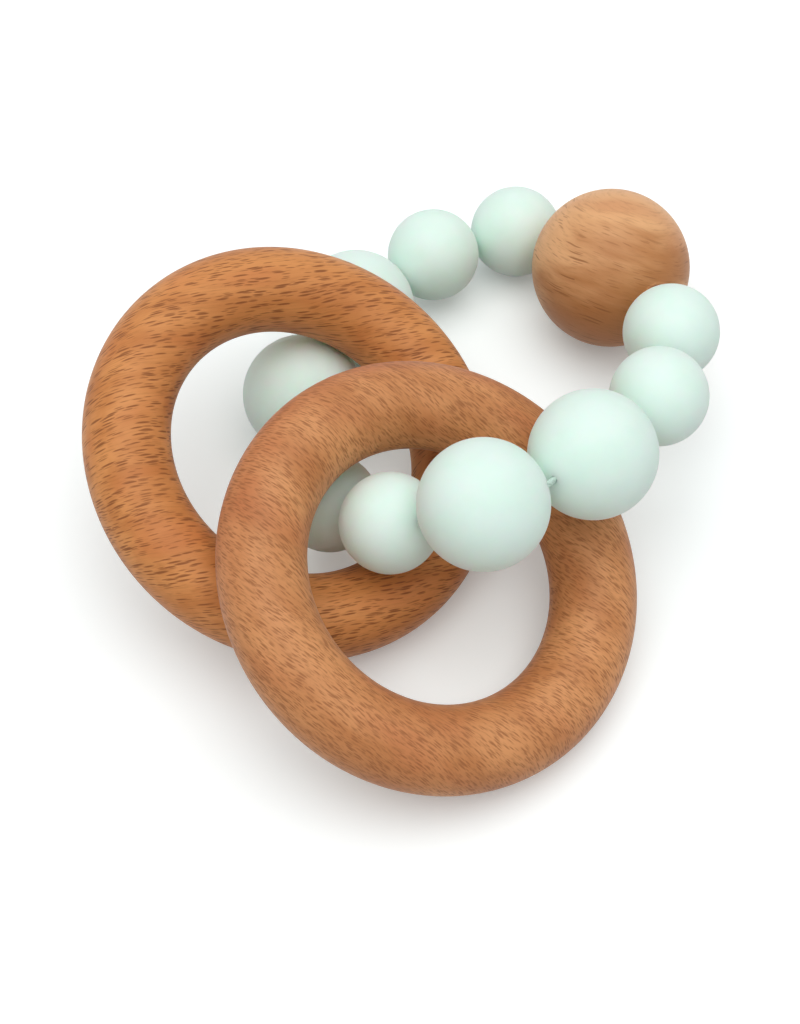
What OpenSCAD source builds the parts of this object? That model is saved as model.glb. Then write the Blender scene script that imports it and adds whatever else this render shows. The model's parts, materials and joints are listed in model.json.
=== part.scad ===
// Teething ring: two wooden rings threaded on a closed string of silicone beads with one wooden ball.
// It lies on a table as it was put down: +Z is up, and the origin is the middle of its footprint.

/* [Rings] */
// Outside diameter of each wooden ring
ring_d = 65; // [60:0.5:70]
// Thickness of a ring's round section
ring_tube_d = 13; // [11.5:0.25:14.5]
// Lean of both rings from lying flat, in degrees
ring_tilt = 27; // [25:0.5:29]
// Direction of the low side of both rings, in degrees from +X toward +Y
ring_heading = -36; // [-42:1:-30]
// Sideways step from the back ring's middle to the front ring's middle
front_ring_sidestep = -6; // [-8:0.5:-4]

/* [Beads] */
// Diameter of a small silicone bead
small_bead_d = 15; // [14:0.25:16]
// Diameter of a large silicone bead
large_bead_d = 19; // [18:0.25:20]
// Diameter of the wooden ball
ball_d = 25.5; // [24:0.25:27]
// Widening of a bore at each of its two mouths
mouth_flare = 0.6; // [0.3:0.1:0.9]

/* [Cord] */
// Thickness of the cord
cord_d = 1; // [0.8:0.1:1.5]
// Radius to which the cord bends where it leaves a bore
cord_bend_r = 0.8; // [0.7:0.05:1]
// Length of cord left bare where it runs under the front ring
bare_cord = 7.5; // [6:0.5:9]
// Length of cord left bare between the beads that climb from the ball to the front ring
climb_cord = 2; // [1.5:0.25:2.5]
// Length of cord left bare between the beads that dive through the two rings
dive_cord = 0.8; // [0.6:0.1:1.2]
// Thickness of the knot hidden in the ball
knot_d = 3.2; // [2.6:0.1:4]
// Turns of cord wrapped round the knot
knot_turns = 3; // [2:1:4]

/* [Fits] */
// Gap between neighbouring beads that are pushed together
bead_gap = 0.4; // [0.3:0.05:0.6]
// Gap all round the cord in a bead's bore
bore_clearance = 0.2; // [0.1:0.05:0.4]
// Gap all round the knot in the ball's bore
knot_clearance = 0.3; // [0.2:0.05:0.6]
// Gap between a ring and the bead that it rests on or lies under
ring_clearance = 0.3; // [0.2:0.05:0.6]
// Gap between the two rings where one lies on the other
ring_gap = 0.5; // [0.3:0.05:0.9]

/* [Hidden] */
NODES = ["cord", "wood_ball", "small_bead_1", "small_bead_2", "large_bead_1", "large_bead_2",
    "small_bead_3", "small_bead_4", "large_bead_3", "large_bead_4", "small_bead_5", "small_bead_6",
    "ring_front", "ring_back"];
$fn = 96;
wood_colour = "#b57c4b";
silicone_colour = "#d3efe2";
cord_colour = "#eef5f0";

// Beads in threading order, starting at the ball
bead_names = [for (i = [1:11]) NODES[i]];
bead_count = len(bead_names);
bead_ds = [ball_d, small_bead_d, small_bead_d, large_bead_d, large_bead_d, small_bead_d, small_bead_d,
    large_bead_d, large_bead_d, small_bead_d, small_bead_d];
gaps_after = [climb_cord, climb_cord, climb_cord, bead_gap, dive_cord, dive_cord, bare_cord, bead_gap,
    bead_gap, bead_gap, bead_gap];
function number_of(name) = search([name], bead_names)[0];
// The bead that lies on the front ring, and the near and far beads that the back ring lies across
bead_on_front = number_of("large_bead_1");
near_bead = number_of("large_bead_3");
far_bead = number_of("large_bead_4");

// Route of the string, chosen by hand: each bead's place on the table, its rise above lying there, and the
// share of the front ring's own shift that the bead goes along with
route = [[32.5, 37, 0.5, 0], [40.5, 17.5, 13.5, 0.3], [37.5, 2, 18, 0.7], [26.5, -13, 21.5, 1],
    [10.5, -23.5, 24, 1], [-1.5, -19.5, 15.6, 1], [-11, -10.5, 6.5, 0.6], [-16, 14.5, 0, 0], [-7.5, 32, 0, 0],
    [5, 43.5, 1.5, 0], [18.5, 49.5, 0, 0]];
// Middle of the front ring at which the route was chosen
route_front = [3.66, -25.68];

// Bores
bead_bore_r = cord_d / 2 + bore_clearance;
ball_bore_r = knot_d / 2 + knot_clearance;
bore_rs = [for (i = [0:bead_count - 1]) i == 0 ? ball_bore_r : bead_bore_r];
// Distance from a bead's middle to the rim of its bore's mouth
mouths = [for (i = [0:bead_count - 1]) sqrt(pow(bead_ds[i] / 2, 2) - pow(bore_rs[i] + mouth_flare, 2))];

// Both rings lie parallel, each with its low side on the table
tube_r = ring_tube_d / 2;
ring_r = ring_d / 2 - tube_r;
downhill = [cos(ring_heading), sin(ring_heading), 0];
sideways = [-sin(ring_heading), cos(ring_heading), 0];
ring_axis = sin(ring_tilt) * downhill + [0, 0, cos(ring_tilt)];
ring_height = ring_r * sin(ring_tilt) + tube_r;
// Step downhill that lays the front ring on top of the back ring
shingle_step = (ring_tube_d + ring_gap) / sin(ring_tilt);

function unit(v) = v / norm(v);
function wrap(i) = (i + 2 * bead_count) % bead_count;
function link(i) = (bead_ds[i] + bead_ds[wrap(i + 1)]) / 2 + gaps_after[i];

// Clear space between a bead and the tube of a ring with the given middle
function ring_room(bead, d, middle) =
    let (v = bead - middle, h = v * ring_axis)
    norm([norm(v - h * ring_axis) - ring_r, h]) - tube_r - d / 2;

// Closed smooth curve through the points, at t counted in points
function curve(points, t) =
    let (
        i = floor(t),
        u = t - i,
        a = points[wrap(i - 1)],
        b = points[wrap(i)],
        c = points[wrap(i + 1)],
        d = points[wrap(i + 2)]
    )
    b + u * ((c - a) / 2 + u * (a - 2.5 * b + 2 * c - d / 2 + u * (1.5 * (b - c) + (d - a) / 2)));

// Place along the curve where it has come the given reach away from a point
function reached(points, from, reach, low, high, tries = 22) =
    let (t = (low + high) / 2)
    tries == 0 ? t
    : norm(curve(points, t) - from) < reach ? reached(points, from, reach, t, high, tries - 1)
    : reached(points, from, reach, low, t, tries - 1);

// Places along the curve of the beads from number i on, each one link after the last, back to the first
function threaded(points, i, t, left) =
    left == 0 ? [t]
    : concat([t], threaded(points, wrap(i + 1),
        reached(points, curve(points, t), link(i), t + 0.4, t + 1.9), left - 1));

// Rough place of the back ring: its tube lies across the groove between the near and the far bead
groove = (route[near_bead] + route[far_bead]) / 2;
seat_height = large_bead_d / 2
    + sqrt(pow(tube_r + large_bead_d / 2 + ring_clearance, 2) - pow((large_bead_d + bead_gap) / 2, 2));
seat_angle = acos((seat_height - ring_height) / (ring_r * sin(ring_tilt)));
seat = [groove.x, groove.y, seat_height];
uphill = sin(ring_tilt) * [0, 0, 1] - cos(ring_tilt) * downhill;
seat_lean = [2.3, -2.05, 0];
back_start = seat - ring_r * (cos(seat_angle) * uphill + sin(seat_angle) * sideways) + seat_lean;
// The front ring lies on the back ring, a step downhill and a step aside
function front_middle(back) = back + shingle_step * downhill + front_ring_sidestep * sideways;
function front_shift(back) =
    let (front = front_middle(back))
    [front.x - route_front.x, front.y - route_front.y];

// Points of the route after spreading, lifting and going along with the front ring
function lifted(spread, lift, shift) =
    [for (p = [for (i = [0:bead_count - 1]) concat(route[i], bead_ds[i] / 2)])
        [spread * p[0] + p[3] * shift.x, spread * p[1] + p[3] * shift.y, p[4] + lift * p[2]]];

// Middles of all beads in threading order
function strung(points, places) =
    [for (i = [0:bead_count - 1]) curve(points, places[wrap(i - bead_on_front)])];

// Settles the pieces against each other: each round widens the route until the string just closes, lifts
// it until it rests on the front ring, and shifts the back ring until it lies across its two beads
function settled(shift, spread, lift, back, rounds) =
    let (
        points = lifted(spread, lift, shift),
        places = threaded(points, bead_on_front, bead_on_front, bead_count),
        overrun = places[bead_count] - places[0] - bead_count,
        beads = strung(points, places),
        front_short = ring_clearance - ring_room(beads[bead_on_front], large_bead_d, front_middle(back)),
        near_short = ring_clearance - ring_room(beads[near_bead], large_bead_d, back),
        far_short = ring_clearance - ring_room(beads[far_bead], large_bead_d, back)
    )
    rounds <= 0 ? [beads, back]
    : settled(
        shift,
        spread * (1 + overrun / bead_count),
        lift + front_short / route[bead_on_front].z,
        back + 1.8 * far_short * downhill + 1.5 * near_short * sideways,
        rounds - 1);

first_lay = settled(front_shift(back_start), 1, 1, back_start, 16);
settled_lay = settled(front_shift(first_lay[1]), 1, 1, first_lay[1], 24);
loose_beads = settled_lay[0];
loose_back = settled_lay[1];
loose_front = front_middle(loose_back);

// Middle of the footprint and height of the table, from the reach of every piece
ring_reach = [for (k = [0:2]) ring_r * sqrt(1 - pow(ring_axis[k], 2)) + tube_r];
lows = concat([loose_front - ring_reach, loose_back - ring_reach],
    [for (i = [0:bead_count - 1]) loose_beads[i] - bead_ds[i] / 2 * [1, 1, 1]]);
highs = concat([loose_front + ring_reach, loose_back + ring_reach],
    [for (i = [0:bead_count - 1]) loose_beads[i] + bead_ds[i] / 2 * [1, 1, 1]]);
low_corner = [for (k = [0:2]) min([for (p = lows) p[k]])];
high_corner = [for (k = [0:2]) max([for (p = highs) p[k]])];
home = -[(low_corner.x + high_corner.x) / 2, (low_corner.y + high_corner.y) / 2, low_corner.z];

// Where each piece lies
bead_at = [for (p = loose_beads) p + home];
back_at = loose_back + home;
front_at = loose_front + home;

// Bores as a taut cord would turn them: each from the mouth before its bead to the mouth after it
function taut(axes, rounds) =
    rounds <= 0 ? axes
    : taut([for (i = [0:bead_count - 1])
        let (
            k = wrap(i - 1),
            n = wrap(i + 1),
            pull = bead_at[n] - mouths[n] * axes[n] - bead_at[k] - mouths[k] * axes[k]
        )
        unit(axes[i] + unit(pull))], rounds - 1);
plain_axes = [for (i = [0:bead_count - 1]) unit(bead_at[wrap(i + 1)] - bead_at[wrap(i - 1)])];
taut_axes = taut(plain_axes, 40);
// Soft beads pressed together hold each other, so a bore keeps partly to the middle of its bead's two contacts
contact_share = 0.4;
bead_axis = [for (i = [0:bead_count - 1])
    let (
        way_in = unit(bead_at[i] - bead_at[wrap(i - 1)]),
        way_out = unit(bead_at[wrap(i + 1)] - bead_at[i])
    )
    unit((1 - contact_share) * taut_axes[i] + contact_share * unit(way_in + way_out))];

// Path of the cord: it runs straight out of each mouth, the further the more it then turns
corner_count = 2 * bead_count;
function before(j) = (j + corner_count - 1) % corner_count;
function after(j) = (j + 1) % corner_count;
function mouth_corners(leads) =
    [for (i = [0:bead_count - 1], k = [0, 1])
        bead_at[i] + (2 * k - 1) * (mouths[i] + leads[2 * i + k]) * bead_axis[i]];
function ways(path) = [for (j = [0:corner_count - 1]) unit(path[after(j)] - path[j])];
function turns_of(way) = [for (j = [0:corner_count - 1]) acos(min(1, way[before(j)] * way[j]))];
rim_turns = turns_of(ways(mouth_corners([for (j = [1:corner_count]) 0])));
corners = mouth_corners([for (turn = rim_turns) cord_d * (1 - cos(turn))]);
headings = ways(corners);
turns = turns_of(headings);
stretches = [for (j = [0:corner_count - 1]) norm(corners[after(j)] - corners[j])];
// Length that each bend takes off the stretch before it and the stretch after it
trims = [for (j = [0:corner_count - 1])
    min(cord_bend_r * tan(turns[j] / 2), 0.45 * stretches[before(j)], 0.45 * stretches[j])];

// Rings that the cord is swept through: middle, direction and radius of each
cord_sides = 8;
bend_steps = 2;
function bend_rings(j) =
    let (
        from = headings[before(j)],
        hinge = unit(cross(from, headings[j])),
        bend_r = trims[j] / tan(turns[j] / 2),
        middle = corners[j] - trims[j] * from + bend_r * cross(hinge, from)
    )
    [for (k = [0:bend_steps])
        let (
            a = k / bend_steps * turns[j],
            way = cos(a) * from + sin(a) * cross(hinge, from)
        )
        [middle - bend_r * cross(hinge, way), way, cord_d / 2]];
// The knot is a run of ridges, one for each turn of cord, with the plain cord at both ends
knot_pitch = 1.1 * cord_d;
knot_steps = 2 * knot_turns;
knot_rings = [for (k = [0:knot_steps])
    let (r = k == 0 || k == knot_steps ? cord_d / 2 : k % 2 == 1 ? knot_d / 2 : 0.4 * knot_d)
    [bead_at[0] + (k / 2 - knot_turns / 2) * knot_pitch * bead_axis[0], bead_axis[0], r]];
cord_rings = concat(bend_rings(0), knot_rings, [for (j = [1:corner_count - 1]) each bend_rings(j)]);
// A direction that the cord never runs along, which keeps the tube from twisting
cord_hint = unit([-0.5, 0.5, 0.7]);

// Puts its children at a place with their Z along an axis
module facing(at, axis, x_hint = [0.3, 0.4, 0.87]) {
    x = unit(x_hint - (x_hint * axis) * axis);
    y = cross(axis, x);
    multmatrix([[x.x, y.x, axis.x, at.x], [x.y, y.y, axis.y, at.y], [x.z, y.z, axis.z, at.z]])
        children();
}

module drilled_ball(d, bore_r) {
    rim = sqrt(pow(d / 2, 2) - pow(bore_r + mouth_flare, 2));
    difference() {
        sphere(d = d);
        cylinder(r = bore_r, h = d + 2, center = true);
        for (turn = [0, 180])
            rotate([turn, 0, 0])
                translate([0, 0, rim - mouth_flare])
                    cylinder(r1 = bore_r, r2 = bore_r + 2 * mouth_flare, h = 2 * mouth_flare);
    }
}

module bead(i) {
    facing(bead_at[i], bead_axis[i])
        drilled_ball(bead_ds[i], bore_rs[i]);
}

module wood_ball() {
    color(wood_colour) bead(0);
}

module silicone_bead(i) {
    color(silicone_colour) bead(i);
}

module wood_ring(at) {
    color(wood_colour)
        facing(at, ring_axis, downhill)
            rotate_extrude()
                translate([ring_r, 0])
                    circle(r = tube_r);
}

module cord() {
    count = len(cord_rings);
    points = [for (ring = cord_rings)
        let (x = unit(cross(cord_hint, ring[1])), y = cross(ring[1], x))
        for (k = [0:cord_sides - 1])
            let (a = 360 / cord_sides * k)
            ring[0] + ring[2] * (cos(a) * x + sin(a) * y)];
    faces = [for (r = [0:count - 1], k = [0:cord_sides - 1])
        let (
            here = r * cord_sides,
            next = (r + 1) % count * cord_sides,
            l = (k + 1) % cord_sides
        )
        each [[here + k, next + k, next + l], [here + k, next + l, here + l]]];
    color(cord_colour)
        polyhedron(points, faces);
}

module ring_front() {
    wood_ring(front_at);
}

module ring_back() {
    wood_ring(back_at);
}

cord();
wood_ball();
for (i = [1:bead_count - 1])
    silicone_bead(i);
ring_front();
ring_back();
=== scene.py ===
import json
import math

import bmesh
import bpy
from bpy.props import FloatProperty, FloatVectorProperty, IntProperty, PointerProperty
from mathutils import Matrix, Quaternion, Vector


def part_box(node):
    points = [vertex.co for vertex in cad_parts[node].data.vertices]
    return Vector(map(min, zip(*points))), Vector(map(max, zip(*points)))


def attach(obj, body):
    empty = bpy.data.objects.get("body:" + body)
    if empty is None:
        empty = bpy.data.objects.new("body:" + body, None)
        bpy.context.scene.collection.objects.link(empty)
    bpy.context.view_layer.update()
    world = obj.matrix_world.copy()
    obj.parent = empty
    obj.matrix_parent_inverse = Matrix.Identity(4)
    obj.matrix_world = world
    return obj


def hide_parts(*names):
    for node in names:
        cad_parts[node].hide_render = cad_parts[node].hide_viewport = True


bl_info = {
    "name": "Teething ring",
    "version": (1, 0, 0),
    "blender": (4, 5, 0),
    "location": "3D View > Sidebar > Teether",
    "description": "Beech rings, silicone beads and a beech ball, dressed around the packed model",
    "category": "Object",
}

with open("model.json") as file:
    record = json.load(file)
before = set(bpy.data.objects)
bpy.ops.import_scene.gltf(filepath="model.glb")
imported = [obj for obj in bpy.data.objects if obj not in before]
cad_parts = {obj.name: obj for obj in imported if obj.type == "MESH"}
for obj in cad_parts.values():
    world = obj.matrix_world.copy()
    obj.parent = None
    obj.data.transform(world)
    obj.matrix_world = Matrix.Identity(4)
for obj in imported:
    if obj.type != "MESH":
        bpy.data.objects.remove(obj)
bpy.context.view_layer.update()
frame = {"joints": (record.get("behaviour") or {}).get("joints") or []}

# The frame is in metres, and the wood's patterns are given in mm
PER_METRE = 1000

# Beads by size, and all that is threaded on the cord, in order
SMALL_BEADS = (
    "small_bead_1", "small_bead_2", "small_bead_3", "small_bead_4", "small_bead_5", "small_bead_6",
)
LARGE_BEADS = ("large_bead_1", "large_bead_2", "large_bead_3", "large_bead_4")
STRING = (
    "wood_ball", "small_bead_1", "small_bead_2", "large_bead_1", "large_bead_2", "small_bead_3",
    "small_bead_4", "large_bead_3", "large_bead_4", "small_bead_5", "small_bead_6",
)
HINGES = {joint["child"]: joint for joint in frame["joints"]}
RING_AXIS = Vector(HINGES["ring_back"]["axis"])

# How finely the shapes are divided
RING_STEPS = 240
RING_BAR_STEPS = 72
BEAD_STEPS = 96
BEAD_ARC_STEPS = 64
LIP_STEPS = 6
CORD_TWIST_STEPS = 12
CORD_BEND_STEPS = 4
STRAND_ROUNDNESS = 2

# Points closer than this are one, and edges sharper than this are the mouths of a bore
MERGE_DISTANCE = 1e-7
MOUTH_ANGLE = math.radians(40)

# Most of a straight run of cord that the bend at one of its ends may take
BEND_SHARE = 0.45

# Beech: the size of a pattern's cells in mm, along the grain, across it and out of the board
DRIFT_CELL = (14, 9, 9)
BLUSH_CELL = (18, 7, 6)

# Beech: the values between which each pattern fades in, and the tints of the dark wood that it shows
BAND_FADE = (0.33, 0.70)
BLUSH_FADE = (0.5, 0.75)
FIBRE_FADE = (0.46, 0.72)
BLUSH_TINT = (1.06, 0.84, 0.95)
FIBRE_TINT = (0.6, 0.6, 0.6)

# Ray flecks: the least likely are shrunk, the likeliest grow, and they fade in between these chances
FLECK_SHRINK = 1.35
FLECK_GROWTH = 0.5
FLECK_FADE = (-0.15, 0.3)

# The ball's flecks fade out toward one pole, which lies across the grain, in mm
ACROSS = (0, 1, 0)
POLE_FADE = (10.5, 7.5)

# A reddish rim on one side of a ring: how far out it starts, and toward which side, in mm
RIM_FADE = (28.0, 32.3)
RIM_SIDE = (-0.90, 0.43, 0)
RIM_SIDE_FADE = (0, 24)

# Relief and roughness of the beech's fibres and flecks
FIBRE_RELIEF = 0.35
BEECH_ROUGHNESS = 0.46
FIBRE_ROUGHNESS = 0.16
FLECK_ROUGHNESS = 0.1

# Silicone: fineness of its patterns in cells per metre, and how much each one shows
BLOOM_SCALE = 180
SPECK_SCALE = 900
SKIN_SCALE = 5200
BLOOM_FADE = (0.35, 0.7)
BLOOM_TINT = (0.955, 0.985, 0.97)
SILICONE_ROUGHNESS = 0.52
SPECK_ROUGHNESS = 0.16

# Cotton: fineness of its patterns in cells per metre, and how much each one shows
FUZZ_SCALE = 6000
PATCH_SCALE = 900
COTTON_FADE = (0.3, 0.7)
COTTON_TINT = (0.72, 0.72, 0.72)
COTTON_ROUGHNESS = 0.75
PATCH_ROUGHNESS = 0.15

# Table: its drop below the toy keeps the two surfaces apart
TABLE_DROP = 0.0001
MOTTLE_SCALE = 40
MOTTLE_FADE = (0.2, 0.8)
MOTTLE_TINT = (0.995, 0.995, 0.995)
TABLE_ROUGHNESS = 0.8
MOTTLE_ROUGHNESS = 0.1

# Heights in the sky, from -1 to 1, between which the light from the sides turns into that from overhead
SKY_FADE = (-0.1, 0.9)

# Width of the camera's sensor, in mm
SENSOR_WIDTH = 36


def length(name, description, default):
    return FloatProperty(name=name, description=description, default=default, unit="LENGTH", precision=5)


def colour(name, description, default):
    return FloatVectorProperty(name=name, description=description, default=default, size=3,
                               subtype="COLOR", min=0, max=1)


class TeetherSizes(bpy.types.PropertyGroup):
    """Sizes of the pieces"""

    ring_width: length("Ring width", "Outside diameter of a beech ring", 0.065)
    ring_thickness: length("Ring thickness", "Diameter of a beech ring's round section", 0.013)
    small_bead: length("Small bead", "Diameter of a small silicone bead", 0.015)
    large_bead: length("Large bead", "Diameter of a large silicone bead", 0.019)
    ball: length("Ball", "Diameter of the beech ball", 0.0255)
    cord: length("Cord", "Diameter of the twisted cord", 0.001)
    bead_bore: length("Bead bore", "Diameter of a silicone bead's bore, which closes on the cord", 0.00103)
    ball_bore: length("Ball bore", "Diameter of the ball's bore", 0.0038)
    bead_lip: length("Bead lip", "Rounding of a silicone bead's bore at its mouths", 0.00008)
    ball_lip: length("Ball lip", "Rounding of the ball's bore at its mouths", 0.0008)
    cord_twist: length("Cord twist", "Length of cord in which its strands go round once", 0.0032)
    cord_bend: length("Cord bend", "Length of cord on each side of a mouth that bends", 0.0008)
    cord_strands: IntProperty(name="Cord strands", description="Strands twisted into the cord", default=3)


class TeetherColours(bpy.types.PropertyGroup):
    """Colours of the finishes"""

    back_ring: colour("Back ring", "Pale wood of the back ring", (0.67, 0.278, 0.084))
    back_ring_dark: colour("Back ring, dark", "Dark bands of the back ring", (0.52, 0.185, 0.045))
    back_ring_fleck: colour("Back ring flecks", "Ray flecks of the back ring", (0.23, 0.070, 0.016))
    front_ring: colour("Front ring", "Pale wood of the front ring", (0.66, 0.296, 0.114))
    front_ring_dark: colour("Front ring, dark", "Dark bands of the front ring", (0.49, 0.188, 0.060))
    front_ring_fleck: colour("Front ring flecks", "Ray flecks of the front ring", (0.28, 0.095, 0.03))
    ball: colour("Ball", "Pale wood of the ball", (0.76, 0.415, 0.195))
    ball_dark: colour("Ball, dark", "Dark bands of the ball", (0.46, 0.188, 0.061))
    ball_fleck: colour("Ball flecks", "Fine dark lines of the ball", (0.30, 0.115, 0.038))
    silicone: colour("Silicone", "Mint silicone of the beads", (0.772, 0.948, 0.855))
    cord: colour("Cord", "Cotton of the cord", (0.64, 0.83, 0.74))
    floor: colour("Floor", "Table under the toy, as the camera sees it", (0.94, 0.985, 0.985))
    floor_bounce: colour("Floor bounce", "Table, as it lights the toy from below", (0.54, 0.54, 0.54))


class TeetherStage(bpy.types.PropertyGroup):
    """Light and camera"""

    sky: FloatProperty(name="Sky", description="Strength of the soft light from overhead", default=0.70)
    horizon: FloatProperty(name="Horizon", description="Strength of the soft light from the sides",
                           default=0.30)
    lamp: FloatProperty(name="Lamp", description="Strength of the soft overhead lamp", default=1.38)
    lamp_spread: FloatProperty(name="Lamp spread", description="Angle that the soft lamp fills in the sky",
                               default=math.radians(60), subtype="ANGLE")
    lamp_from: FloatVectorProperty(name="Lamp from", description="Direction that the lamp shines from",
                                   default=(-0.01, -0.09, 0.99), size=3, subtype="DIRECTION")
    camera_place: FloatVectorProperty(name="Camera place", description="Where the camera stands",
                                      default=(-0.00143, -0.21375, 0.30343), size=3,
                                      subtype="TRANSLATION")
    camera_pitch: FloatProperty(name="Camera pitch", description="Turn of the camera up from straight down",
                                default=math.radians(34.9), subtype="ANGLE")
    camera_lens: FloatProperty(name="Camera lens", description="Focal length on a 36 mm sensor, in mm",
                               default=82.66)
    floor_glow: FloatProperty(name="Floor glow", description="White added to the floor in view",
                              default=0.15, subtype="FACTOR")
    floor_width: length("Floor width", "Side of the square floor", 8.0)


class Shade:
    """A socket of a material's nodes, which takes part in plain sums and products"""

    def __init__(self, tree, socket=None):
        self.tree = tree
        self.socket = socket

    def node(self, kind, settings, inputs, output=0):
        """Adds a node with its settings and its sockets' values or links, and gives one of its outputs"""
        added = self.tree.nodes.new(kind)
        for name, value in settings.items():
            setattr(added, name, value)
        for name, value in inputs.items():
            if isinstance(value, Shade):
                self.tree.links.new(value.socket, added.inputs[name])
            else:
                added.inputs[name].default_value = value
        return Shade(self.tree, added.outputs[output])

    def maths(self, operation, first, second):
        return self.node("ShaderNodeMath", {"operation": operation}, {0: first, 1: second})

    def vectors(self, operation, inputs, output=0):
        return self.node("ShaderNodeVectorMath", {"operation": operation}, inputs, output)

    def __add__(self, other):
        return self.maths("ADD", self, other)

    def __radd__(self, other):
        return self.maths("ADD", other, self)

    def __sub__(self, other):
        return self.maths("SUBTRACT", self, other)

    def __rsub__(self, other):
        return self.maths("SUBTRACT", other, self)

    def __mul__(self, other):
        return self.maths("MULTIPLY", self, other)

    def __rmul__(self, other):
        return self.maths("MULTIPLY", other, self)

    def between(self, low, high):
        """0 at low and below, 1 at high and above, smooth in between; low may be the larger of the two"""
        start, end, flip = (low, high, False) if low < high else (high, low, True)
        return self.node("ShaderNodeMapRange", {"interpolation_type": "SMOOTHSTEP"}, {
            "Value": self, "From Min": start, "From Max": end,
            "To Min": 1.0 if flip else 0.0, "To Max": 0.0 if flip else 1.0})

    def stretched(self, along, across, deep):
        """The place measured in cells of the given size, in mm"""
        return self.vectors("MULTIPLY", {0: self, 1: (1 / along, 1 / across, 1 / deep)})

    def moved(self, push, amount):
        """The place pushed about by a colour that varies round grey"""
        centred = self.vectors("SUBTRACT", {0: push, 1: (0.5, 0.5, 0.5)})
        scaled = self.vectors("MULTIPLY", {0: centred, 1: amount})
        return self.vectors("ADD", {0: self, 1: scaled})

    def noise(self, scale=1.0, detail=3.0, roughness=0.5, output=0):
        """Cloudy values round 0.5, or with output 1 a colour that varies round grey"""
        return self.node("ShaderNodeTexNoise", {"noise_dimensions": "3D"}, {
            "Vector": self, "Scale": scale, "Detail": detail, "Roughness": roughness}, output)

    def cells(self, output=0):
        """Distance from the nearest of many uneven points, or with output 1 a colour of its own for each"""
        return self.node("ShaderNodeTexVoronoi", {"voronoi_dimensions": "3D", "feature": "F1"},
                         {"Vector": self, "Scale": 1.0, "Randomness": 0.9}, output)

    def red(self):
        return self.node("ShaderNodeSeparateColor", {}, {0: self})

    def along(self, direction):
        """How far the place lies in a direction"""
        return self.vectors("DOT_PRODUCT", {0: self, 1: direction}, "Value")

    def flat(self):
        """The place with its third direction left out"""
        return self.stretched(1, 1, math.inf)

    def from_middle(self):
        """Distance from the middle in the plane of the first two directions"""
        return self.vectors("LENGTH", {0: self.flat()}, "Value")

    def unrolled(self, ring_r, bar_r):
        """The place on a ring's skin, laid out flat as if the skin were split along its underside"""
        rise = self.node("ShaderNodeSeparateXYZ", {}, {0: self}, "Z")
        out = self.from_middle()
        round_bar = out.maths("ARCTAN2", out - ring_r, rise)
        spread = out.maths("DIVIDE", ring_r + bar_r * round_bar, out)
        return self.vectors("SCALE", {0: self.flat(), "Scale": spread})

    def seen(self):
        """1 on the rays that show a background to the camera, straight or by a glossy or clear surface"""
        names = ("Is Camera Ray", "Is Glossy Ray", "Is Transmission Ray")
        camera, glossy, clear = (self.node("ShaderNodeLightPath", {}, {}, name) for name in names)
        return camera + glossy + clear

    def mixed(self, first, second):
        """The first colour where this is 0, the second where it is 1"""
        first_socket, second_socket, result_socket = 6, 7, 2
        fill = {name: value if isinstance(value, Shade) else (*value, 1.0)
                for name, value in ((first_socket, first), (second_socket, second))}
        return self.node("ShaderNodeMix", {"data_type": "RGBA"}, {0: self, **fill}, result_socket)

    def bump(self, strength, distance):
        """The surface's direction with this as its relief"""
        return self.node("ShaderNodeBump", {},
                         {"Strength": strength, "Distance": distance, "Height": self})


def blank_material(name):
    """A material with one shader, and its object coordinates to start from"""
    material = bpy.data.materials.new(name)
    material.use_nodes = True
    shader = material.node_tree.nodes["Principled BSDF"]
    start = Shade(material.node_tree)
    place = start.node("ShaderNodeTexCoord", {}, {}, "Object")
    return material, shader, place


def feed(shader, inputs):
    """Sets or links the shader's own sockets"""
    for name, value in inputs.items():
        if isinstance(value, Shade):
            shader.id_data.links.new(value.socket, shader.inputs[name])
        else:
            shader.inputs[name].default_value = value


def tinted(tone, tint):
    """A colour with each channel taken at its share"""
    return tuple(channel * share for channel, share in zip(tone, tint))


def board_place(place, middle, grain, face):
    """Place in a wooden piece's own board, in mm: along the grain, across it, and out of the face"""
    across = face.cross(grain).normalized()
    along = across.cross(face).normalized()
    turn = Matrix((along, across, face))
    return place.node("ShaderNodeMapping", {"vector_type": "POINT"}, {
        "Vector": place,
        "Location": -PER_METRE * (turn @ middle),
        "Rotation": turn.to_euler(),
        "Scale": (PER_METRE, PER_METRE, PER_METRE)})


def dashes(board, cell, fleck):
    """Short tapered lines along the grain, of uneven length and depth, with a share of them spared"""
    place = board.stretched(*cell)
    chance = place.cells(1).red()
    reach = place.cells() * (FLECK_SHRINK - FLECK_GROWTH * chance)
    start, full = (fleck["spared"] + part for part in FLECK_FADE)
    return reach.between(fleck["edge"], fleck["core"]) * chance.between(start, full)


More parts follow.
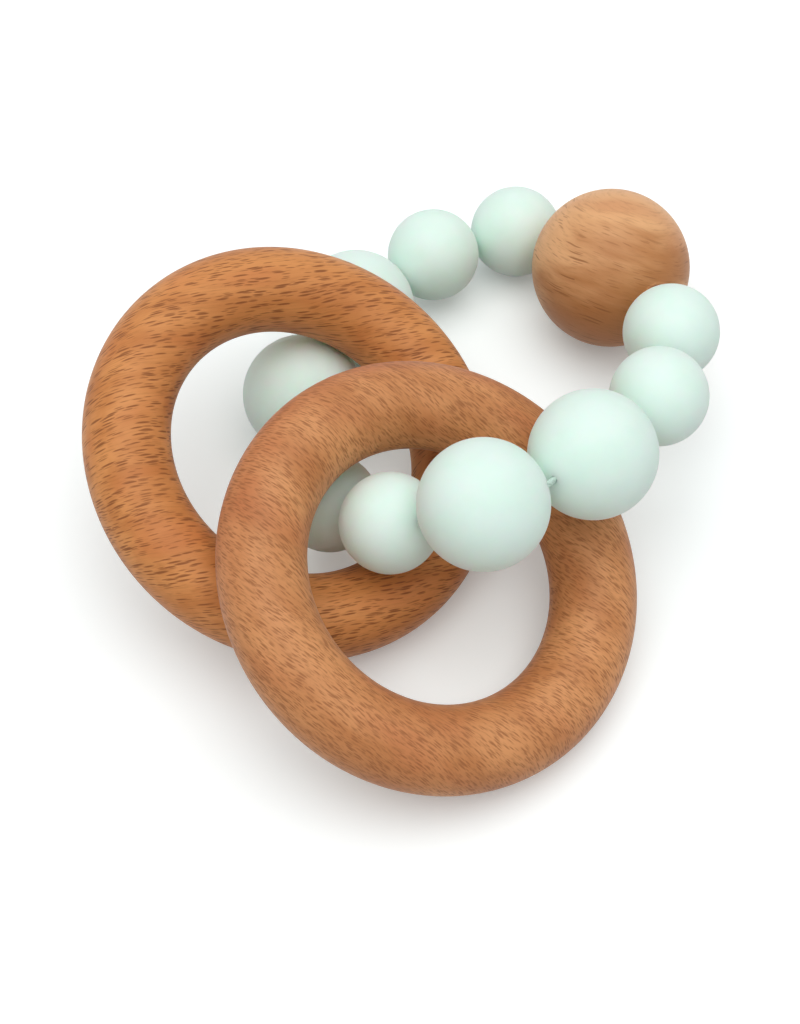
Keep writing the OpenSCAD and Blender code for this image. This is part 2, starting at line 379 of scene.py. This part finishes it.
def beech_material(name, middle, grain, face, tones, fleck, figure, bar=None):
    """Oiled beech: pale wood with darker bands, fine fibres and short dark ray flecks along the grain"""
    material, shader, place = blank_material(name)
    pale, dark, fleck_tone = tones
    straight = board_place(place, middle, grain, face)
    drift = straight.stretched(*DRIFT_CELL).noise(detail=2, output=1)
    board = straight.moved(drift, figure["waver"])
    skin = straight.unrolled(*bar).moved(drift, figure["waver"]) if bar else board

    bands = board.stretched(*figure["band"]).noise(detail=3, roughness=0.55)
    # Painted light on the ball: its bands are shifted along a slope, so the wood is painted paler toward
    # its lit upper back and darker toward its shaded front underside
    if not bar:
        painted_light_way = PER_METRE * Vector(figure["painted_light_slope"])
        bands = bands + (figure["darker"] + painted_light_way.dot(middle)) - place.along(painted_light_way)
    blush = board.stretched(*BLUSH_CELL).noise(detail=1)
    fibres = skin.stretched(*figure["fibre"]).noise(detail=4, roughness=0.6)
    long_dashes = dashes(skin, fleck["long"], fleck)
    short_dashes = dashes(skin, fleck["short"], fleck)
    flecks = long_dashes.maths("MAXIMUM", long_dashes, fleck["short_depth"] * short_dashes)
    if not bar:
        flecks = flecks * board.along(ACROSS).between(*POLE_FADE)

    wood = bands.between(*BAND_FADE).mixed(pale, dark)
    redder = tinted(dark, BLUSH_TINT)
    wood = (figure["blush"] * blush.between(*BLUSH_FADE)).mixed(wood, redder)
    if figure["rim"]:
        side = straight.along(RIM_SIDE).between(*RIM_SIDE_FADE)
        edge = straight.from_middle().between(*RIM_FADE) * side
        wood = (figure["rim"] * edge * (0.5 + 0.5 * blush)).mixed(wood, redder)
    lines = tinted(dark, FIBRE_TINT)
    wood = (figure["fibre_depth"] * fibres.between(*FIBRE_FADE)).mixed(wood, lines)
    wood = (fleck["depth"] * flecks).mixed(wood, fleck_tone)

    relief = FIBRE_RELIEF * fibres - flecks
    feed(shader, {
        "Base Color": wood,
        "Roughness": BEECH_ROUGHNESS + FIBRE_ROUGHNESS * fibres + FLECK_ROUGHNESS * flecks,
        "Specular IOR Level": 0.35,
        "Sheen Weight": 0.1,
        "Sheen Roughness": 0.4,
        "Normal": relief.bump(strength=0.35, distance=0.00005)})
    return material


def silicone_material(name, tone):
    """Soft matte silicone with a faint bloom and a very fine skin"""
    material, shader, place = blank_material(name)
    bloom = place.noise(scale=BLOOM_SCALE, detail=2)
    skin = place.noise(scale=SKIN_SCALE, detail=2)
    specks = place.noise(scale=SPECK_SCALE, detail=3, roughness=0.65)
    feed(shader, {
        "Base Color": bloom.between(*BLOOM_FADE).mixed(tone, tinted(tone, BLOOM_TINT)),
        "Roughness": SILICONE_ROUGHNESS + SPECK_ROUGHNESS * specks,
        "Specular IOR Level": 0.45,
        "Subsurface Weight": 0.75,
        "Subsurface Radius": (0.6, 1.0, 0.8),
        "Subsurface Scale": 0.0036,
        "Sheen Weight": 0.08,
        "Sheen Roughness": 0.5,
        "Normal": skin.bump(strength=0.18, distance=0.00003)})
    return material


def cotton_material(name, tone):
    """Waxed cotton strands with fine fibres and fuzz"""
    material, shader, place = blank_material(name)
    fuzz = place.noise(scale=FUZZ_SCALE, detail=3)
    patches = place.noise(scale=PATCH_SCALE, detail=2)
    depth = (0.5 * fuzz + 0.5 * patches).between(*COTTON_FADE)
    feed(shader, {
        "Base Color": depth.mixed(tinted(tone, COTTON_TINT), tone),
        "Roughness": COTTON_ROUGHNESS + PATCH_ROUGHNESS * patches,
        "Sheen Weight": 0.3,
        "Normal": fuzz.bump(strength=0.5, distance=0.00005)})
    return material


def table_material(colours, glow):
    """White matte table top, which lights the toy less than it shows to the camera"""
    material, shader, place = blank_material("white_table")
    mottle = place.noise(scale=MOTTLE_SCALE, detail=2)
    tone = tuple(colours.floor)
    top = mottle.between(*MOTTLE_FADE).mixed(tone, tinted(tone, MOTTLE_TINT))
    feed(shader, {
        "Base Color": place.seen().mixed(tuple(colours.floor_bounce), top),
        "Roughness": TABLE_ROUGHNESS + MOTTLE_ROUGHNESS * mottle,
        "Specular IOR Level": 0.1})
    lit = Shade(material.node_tree, shader.outputs[0])
    white = place.node("ShaderNodeEmission", {}, {"Strength": glow * place.seen()})
    table = place.node("ShaderNodeAddShader", {}, {0: lit, 1: white})
    feed(material.node_tree.nodes["Material Output"], {"Surface": table})
    return material


def facing(middle, axis, hint=Vector((0.3, 0.4, 0.87))):
    """Puts a piece's own Z along an axis, at a place"""
    side = (hint - hint.dot(axis) * axis).normalized()
    turn = Matrix((side, axis.cross(side), axis)).transposed()
    return Matrix.Translation(middle) @ turn.to_4x4()


def finished(bm, name, material):
    """Makes the modelled shape an object with smooth faces, in place"""
    mesh = bpy.data.meshes.new(name)
    bm.to_mesh(mesh)
    bm.free()
    for face in mesh.polygons:
        face.use_smooth = True
    mesh.materials.append(material)
    piece = bpy.data.objects.new(name, mesh)
    bpy.context.scene.collection.objects.link(piece)
    return piece


def dress(piece, body, node):
    """Lets a piece stand for a node of the model and move with its body"""
    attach(piece, body)
    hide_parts(node)


def turned(bm, steps):
    """Turns the drawn profile all the way round Z"""
    bmesh.ops.spin(bm, geom=bm.verts[:] + bm.edges[:], cent=(0, 0, 0), axis=(0, 0, 1),
                   angle=2 * math.pi, steps=steps, use_merge=True)
    bmesh.ops.remove_doubles(bm, verts=bm.verts, dist=MERGE_DISTANCE)
    bmesh.ops.recalc_face_normals(bm, faces=bm.faces)


def ring_shape(width, thickness):
    """A round bar turned into a ring"""
    bm = bmesh.new()
    upright = Matrix.Rotation(math.pi / 2, 4, "X")
    out = Matrix.Translation(((width - thickness) / 2, 0, 0))
    bmesh.ops.create_circle(bm, segments=RING_BAR_STEPS, radius=thickness / 2, matrix=out @ upright)
    turned(bm, RING_STEPS)
    return bm


def bead_shape(width, bore, lip):
    """A round bead with a bore along Z, whose mouths are rounded over"""
    bm = bmesh.new()
    rim = math.asin(bore / width)
    start = bm.verts.new((bore / 2, 0, width / 2 * math.cos(rim)))
    arc = bmesh.ops.spin(bm, geom=[start], cent=(0, 0, 0), axis=(0, 1, 0), angle=math.pi - 2 * rim,
                         steps=BEAD_ARC_STEPS)
    end = next(part for part in arc["geom_last"] if isinstance(part, bmesh.types.BMVert))
    bm.edges.new((end, start))
    turned(bm, BEAD_STEPS)
    mouths = [edge for edge in bm.edges if edge.calc_face_angle(0) > MOUTH_ANGLE]
    bmesh.ops.bevel(bm, geom=mouths, offset=lip, offset_type="OFFSET", segments=LIP_STEPS, profile=0.5,
                    affect="EDGES", material=-1, clamp_overlap=True)
    bmesh.ops.recalc_face_normals(bm, faces=bm.faces)
    return bm


def bead_width(sizes, node):
    if node == "wood_ball":
        return sizes.ball
    return sizes.small_bead if node in SMALL_BEADS else sizes.large_bead


def cord_corners(sizes):
    """Points where the cord enters and leaves each bead, from the middle of the ball round to it again"""
    points = []
    for node in STRING:
        middle = Vector(HINGES[node]["pos_m"])
        reach = Vector(HINGES[node]["axis"]) * (bead_width(sizes, node) / 2)
        points += [middle - reach, middle + reach]
    ball = Vector(HINGES["wood_ball"]["pos_m"])
    return [ball, *points[1:], points[0], ball]


def rounded_route(corners, bend):
    """The corners joined by straight runs, each corner rounded over a short length"""
    shares = [k / CORD_BEND_STEPS for k in range(CORD_BEND_STEPS + 1)]
    route = [corners[0]]
    for before, corner, after in zip(corners, corners[1:], corners[2:]):
        shorter = min((corner - before).length, (after - corner).length)
        cut = min(bend, BEND_SHARE * shorter)
        first = corner + cut * (before - corner).normalized()
        last = corner + cut * (after - corner).normalized()
        route += [first.lerp(corner, t).lerp(corner.lerp(last, t), t) for t in shares]
    return route + [corners[-1]]


def evenly(route, step):
    """Points along the route, about a step apart"""
    spaced = []
    for start, end in zip(route, route[1:]):
        parts = max(1, round((end - start).length / step))
        spaced += [start.lerp(end, k / parts) for k in range(parts)]
    return spaced + [route[-1]]


def twisted_strands(route, sizes):
    """A curve of strands that touch each other and wind round the route"""
    strand_r = sizes.cord / 2 / (1 + 1 / math.sin(math.pi / sizes.cord_strands))
    curve = bpy.data.curves.new("twisted_cord", "CURVE")
    curve.dimensions = "3D"
    curve.bevel_depth = strand_r
    curve.bevel_resolution = STRAND_ROUNDNESS
    curve.use_fill_caps = True
    splines = []
    for _ in range(sizes.cord_strands):
        spline = curve.splines.new("POLY")
        spline.points.add(len(route) - 1)
        splines.append(spline)

    heading = (route[1] - route[0]).normalized()
    side = heading.orthogonal().normalized()
    run = 0.0
    for k, point in enumerate(route):
        new_heading = (route[min(k + 1, len(route) - 1)] - route[max(k - 1, 0)]).normalized()
        side = heading.rotation_difference(new_heading) @ side
        heading = new_heading
        run += (point - route[k - 1]).length if k else 0.0
        for n, spline in enumerate(splines):
            angle = 2 * math.pi * (run / sizes.cord_twist + n / sizes.cord_strands)
            offset = Quaternion(heading, angle) @ side * (sizes.cord / 2 - strand_r)
            spline.points[k].co = (*(point + offset), 1)
    return curve


class TEETHER_OT_stage(bpy.types.Operator):
    """Sets up the table, the soft light and the camera"""

    bl_idname = "teether.stage"
    bl_label = "Stage"

    def execute(self, context):
        scene = context.scene
        stage = scene.teether_stage
        scene.view_settings.view_transform = "Standard"

        material = table_material(scene.teether_colours, stage.floor_glow)
        bm = bmesh.new()
        bmesh.ops.create_grid(bm, x_segments=2, y_segments=2, size=stage.floor_width / 2,
                              matrix=Matrix.Translation((0, 0, -TABLE_DROP)))
        finished(bm, "table", material)

        world = bpy.data.worlds.new("white_room")
        world.use_nodes = True
        scene.world = world
        sky = Shade(world.node_tree)
        way = sky.node("ShaderNodeTexCoord", {}, {}, "Generated")
        height = way.along(Vector(stage.lamp_from).normalized()).between(*SKY_FADE)
        light = stage.horizon + (stage.sky - stage.horizon) * height
        strength = light + (1 - light) * sky.seen()
        feed(world.node_tree.nodes["Background"], {"Color": (1, 1, 1, 1), "Strength": strength})

        lamp = bpy.data.lights.new("soft_lamp", "SUN")
        lamp.energy = stage.lamp
        lamp.angle = stage.lamp_spread
        lamp_object = bpy.data.objects.new("soft_lamp", lamp)
        lamp_object.rotation_euler = Vector(stage.lamp_from).to_track_quat("Z", "Y").to_euler()
        scene.collection.objects.link(lamp_object)

        camera = bpy.data.cameras.new("camera")
        camera.lens = stage.camera_lens
        camera.sensor_width = SENSOR_WIDTH
        camera.clip_start = 0.01
        camera_object = bpy.data.objects.new("camera", camera)
        camera_object.location = stage.camera_place
        camera_object.rotation_euler = (stage.camera_pitch, 0, 0)
        scene.collection.objects.link(camera_object)
        scene.camera = camera_object
        return {"FINISHED"}


class TEETHER_OT_rings(bpy.types.Operator):
    """Turns the two beech rings"""

    bl_idname = "teether.rings"
    bl_label = "Rings"

    def execute(self, context):
        sizes = context.scene.teether_sizes
        tones = context.scene.teether_colours
        boards = {
            "ring_back": (
                Vector((1, 0.30, 0)),
                (tones.back_ring, tones.back_ring_dark, tones.back_ring_fleck),
                {"long": (3.4, 0.42, 1.0), "short": (2.6, 0.33, 1.0), "edge": 0.42, "core": 0.21,
                 "depth": 0.88, "spared": 0, "short_depth": 0.7},
                {"waver": (0, 1.6, 1.6), "band": (34, 5, 4), "blush": 0.35, "rim": 0,
                 "fibre": (6.0, 0.3, 0.5), "fibre_depth": 0.30},
            ),
            "ring_front": (
                Vector((1, -0.60, 0)),
                (tones.front_ring, tones.front_ring_dark, tones.front_ring_fleck),
                {"long": (2.3, 0.38, 1.0), "short": (1.7, 0.30, 1.0), "edge": 0.46, "core": 0.18,
                 "depth": 0.72, "spared": 0, "short_depth": 0.9},
                {"waver": (0, 1.8, 1.8), "band": (24, 8, 5), "blush": 0.30, "rim": 0.65,
                 "fibre": (2.0, 0.30, 0.4), "fibre_depth": 0.58},
            ),
        }
        bar_r = PER_METRE * sizes.ring_thickness / 2
        bar = (PER_METRE * sizes.ring_width / 2 - bar_r, bar_r)
        for node, (grain, wood, fleck, figure) in boards.items():
            low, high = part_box(node)
            middle = (low + high) / 2
            wood = [tuple(tone) for tone in wood]
            material = beech_material("beech_" + node, middle, grain, RING_AXIS, wood, fleck, figure, bar)
            bm = ring_shape(sizes.ring_width, sizes.ring_thickness)
            bmesh.ops.transform(bm, matrix=facing(middle, RING_AXIS), verts=bm.verts)
            dress(finished(bm, "turned_" + node, material), node, node)
        return {"FINISHED"}


class TEETHER_OT_ball(bpy.types.Operator):
    """Turns the beech ball"""

    bl_idname = "teether.ball"
    bl_label = "Ball"

    def execute(self, context):
        sizes = context.scene.teether_sizes
        tones = context.scene.teether_colours
        middle = Vector(HINGES["wood_ball"]["pos_m"])
        axis = Vector(HINGES["wood_ball"]["axis"])
        grain = Vector((0.958, -0.162, -0.236))
        face = Vector((0, -0.825, 0.565))
        wood = [tuple(tone) for tone in (tones.ball, tones.ball_dark, tones.ball_fleck)]
        fleck = {"long": (6.4, 0.5, 6.4), "short": (3.2, 0.34, 3.2), "edge": 0.32, "core": 0.18,
                 "depth": 0.8, "spared": 0.55, "short_depth": 0.6}
        # The ball's slope toward its upper back, per mm, paints the wood paler where it is lit and darker
        # on its shaded front underside: painted light and shade
        figure = {"waver": (0, 2.4, 1.0), "band": (24, 6.0, 16), "darker": 0.01,
                  "painted_light_slope": (0, 0.024, 0.017), "blush": 0.35, "rim": 0,
                  "fibre": (2.4, 0.26, 2.0), "fibre_depth": 0.26}
        material = beech_material("beech_ball", middle, grain, face, wood, fleck, figure)
        bm = bead_shape(sizes.ball, sizes.ball_bore, sizes.ball_lip)
        bmesh.ops.transform(bm, matrix=facing(middle, axis), verts=bm.verts)
        dress(finished(bm, "turned_ball", material), "wood_ball", "wood_ball")
        return {"FINISHED"}


class TEETHER_OT_beads(bpy.types.Operator):
    """Moulds the silicone beads"""

    bl_idname = "teether.beads"
    bl_label = "Beads"

    def execute(self, context):
        sizes = context.scene.teether_sizes
        material = silicone_material("mint_silicone", tuple(context.scene.teether_colours.silicone))
        for node in SMALL_BEADS + LARGE_BEADS:
            middle = Vector(HINGES[node]["pos_m"])
            axis = Vector(HINGES[node]["axis"])
            bm = bead_shape(bead_width(sizes, node), sizes.bead_bore, sizes.bead_lip)
            bmesh.ops.transform(bm, matrix=facing(middle, axis), verts=bm.verts)
            dress(finished(bm, "moulded_" + node, material), node, node)
        return {"FINISHED"}


class TEETHER_OT_cord(bpy.types.Operator):
    """Twists the cord and runs it through the beads"""

    bl_idname = "teether.cord"
    bl_label = "Cord"

    def execute(self, context):
        sizes = context.scene.teether_sizes
        material = cotton_material("waxed_cotton", tuple(context.scene.teether_colours.cord))
        bent = rounded_route(cord_corners(sizes), sizes.cord_bend)
        route = evenly(bent, sizes.cord_twist / CORD_TWIST_STEPS)
        curve_object = bpy.data.objects.new("cord_route", twisted_strands(route, sizes))
        context.scene.collection.objects.link(curve_object)
        context.view_layer.update()
        bm = bmesh.new()
        bm.from_mesh(bpy.data.meshes.new_from_object(curve_object))
        bpy.data.objects.remove(curve_object)
        dress(finished(bm, "twisted_cord", material), "string", "cord")
        return {"FINISHED"}


class TEETHER_PT_panel(bpy.types.Panel):
    """Lists the steps that dress the toy"""

    bl_idname = "TEETHER_PT_panel"
    bl_label = "Teething ring"
    bl_space_type = "VIEW_3D"
    bl_region_type = "UI"
    bl_category = "Teether"

    def draw(self, context):
        for operator in OPERATORS:
            self.layout.operator(operator.bl_idname)


OPERATORS = (TEETHER_OT_stage, TEETHER_OT_rings, TEETHER_OT_ball, TEETHER_OT_beads, TEETHER_OT_cord)
GROUPS = {"teether_sizes": TeetherSizes, "teether_colours": TeetherColours, "teether_stage": TeetherStage}


def register():
    for group in GROUPS.values():
        bpy.utils.register_class(group)
    for operator in OPERATORS:
        bpy.utils.register_class(operator)
    bpy.utils.register_class(TEETHER_PT_panel)
    for name, group in GROUPS.items():
        setattr(bpy.types.Scene, name, PointerProperty(type=group))


def unregister():
    for name in GROUPS:
        delattr(bpy.types.Scene, name)
    bpy.utils.unregister_class(TEETHER_PT_panel)
    for operator in OPERATORS:
        bpy.utils.unregister_class(operator)
    for group in GROUPS.values():
        bpy.utils.unregister_class(group)


def main():
    register()
    bpy.ops.teether.stage()
    bpy.ops.teether.rings()
    bpy.ops.teether.ball()
    bpy.ops.teether.beads()
    bpy.ops.teether.cord()


if __name__ == "__main__":
    main()
